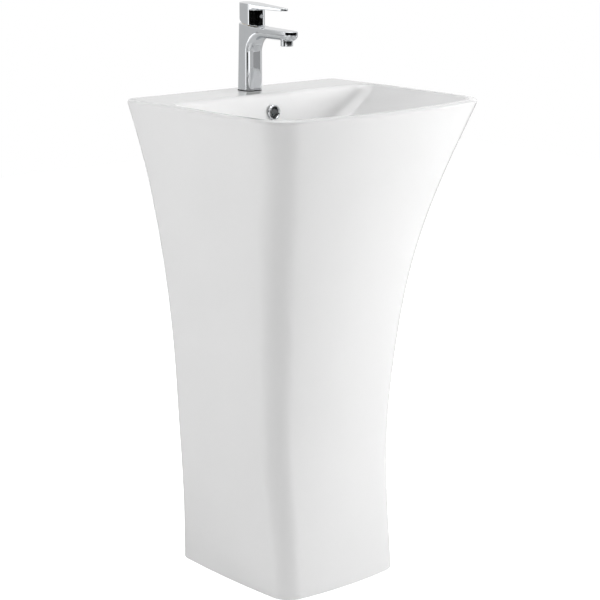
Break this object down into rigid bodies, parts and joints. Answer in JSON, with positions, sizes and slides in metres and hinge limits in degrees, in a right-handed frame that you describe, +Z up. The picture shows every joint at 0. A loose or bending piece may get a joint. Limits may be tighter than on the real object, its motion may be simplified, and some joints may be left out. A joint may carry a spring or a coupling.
{
  "type": "pedestal sink",
  "caption": "One-piece flared china pedestal basin with a flat tap deck, single-lever mixer, overflow ring, push waste and bottle trap.",
  "frame": {"origin": "centre of the bounding box at floor level", "axes": "+Z up, +X to the user's right when facing the wall, +Y towards the wall"},
  "size_m": [0.483, 0.4268, 1.0035],
  "materials": {
    "china": "gloss",
    "chrome": "polished",
    "rubber": "matte",
    "white_plastic": "satin",
    "indicator_plastic": "gloss",
    "brass": "satin",
    "steel": "satin",
    "disc_ceramic": "satin"
  },
  "bodies": {
    "pedestal": {"pedestal_basin": "china", "overflow_ring": "chrome", "waste_body": "chrome", "waste_top_seal": "rubber", "waste_bottom_seal": "rubber", "waste_backnut": "brass", "clicker_housing": "brass", "clicker_spring": "steel", "trap_inlet_washer": "rubber", "trap_inlet_nut": "white_plastic", "trap_body": "white_plastic", "trap_dip_tube": "white_plastic", "trap_cup": "white_plastic", "trap_cup_seal": "rubber", "trap_outlet_washer": "rubber", "trap_outlet_nut": "white_plastic", "trap_outlet_pipe": "white_plastic", "tap_body": "chrome", "tap_base_gasket": "rubber", "aerator_housing": "chrome", "aerator_insert": "white_plastic", "aerator_washer": "rubber", "cartridge_housing": "white_plastic", "cartridge_base": "white_plastic", "cartridge_nut": "brass", "fixed_ceramic_disc": "disc_ceramic", "fixing_stud": "steel", "horseshoe_rubber": "rubber", "horseshoe_washer": "steel", "stud_nut": "steel"},
    "tap_carrier": {"stem_carrier": "white_plastic", "stem_pin": "steel"},
    "tap_lever": {"lever_handle": "chrome", "lever_screw": "steel", "indicator_cap": "indicator_plastic", "cartridge_stem": "brass"},
    "disc_slider": {"moving_ceramic_disc": "disc_ceramic"},
    "waste_plug": {"waste_cap": "chrome", "waste_cap_seal": "rubber", "clicker_plunger": "brass"}
  },
  "joints": [
    {"name": "temperature_swivel", "type": "hinge", "parent": "pedestal", "child": "tap_carrier", "pos_m": [0, 0.165, 0.966], "axis": [0, -0.1132, 0.9936], "range_deg": [-45, 45]},
    {"name": "flow_lift", "type": "hinge", "parent": "tap_carrier", "child": "tap_lever", "pos_m": [0, 0.16636, 0.95408], "axis": [-1, 0, 0], "range_deg": [0, 18]},
    {"name": "disc_slide", "type": "slide", "parent": "tap_carrier", "child": "disc_slider", "axis": [0, 0.9936, 0.1132], "range_m": [-0.0049, 0]},
    {"name": "waste_push", "type": "slide", "parent": "pedestal", "child": "waste_plug", "axis": [0, 0, 1], "range_m": [-0.008, 0], "stiffness_N_per_m": 300, "springref_m": 0.006, "deforming": ["clicker_spring"]}
  ],
  "couplings": [
    {"joint": "disc_slide", "follows": "flow_lift", "m_per_rad": -0.0155}
  ]
}
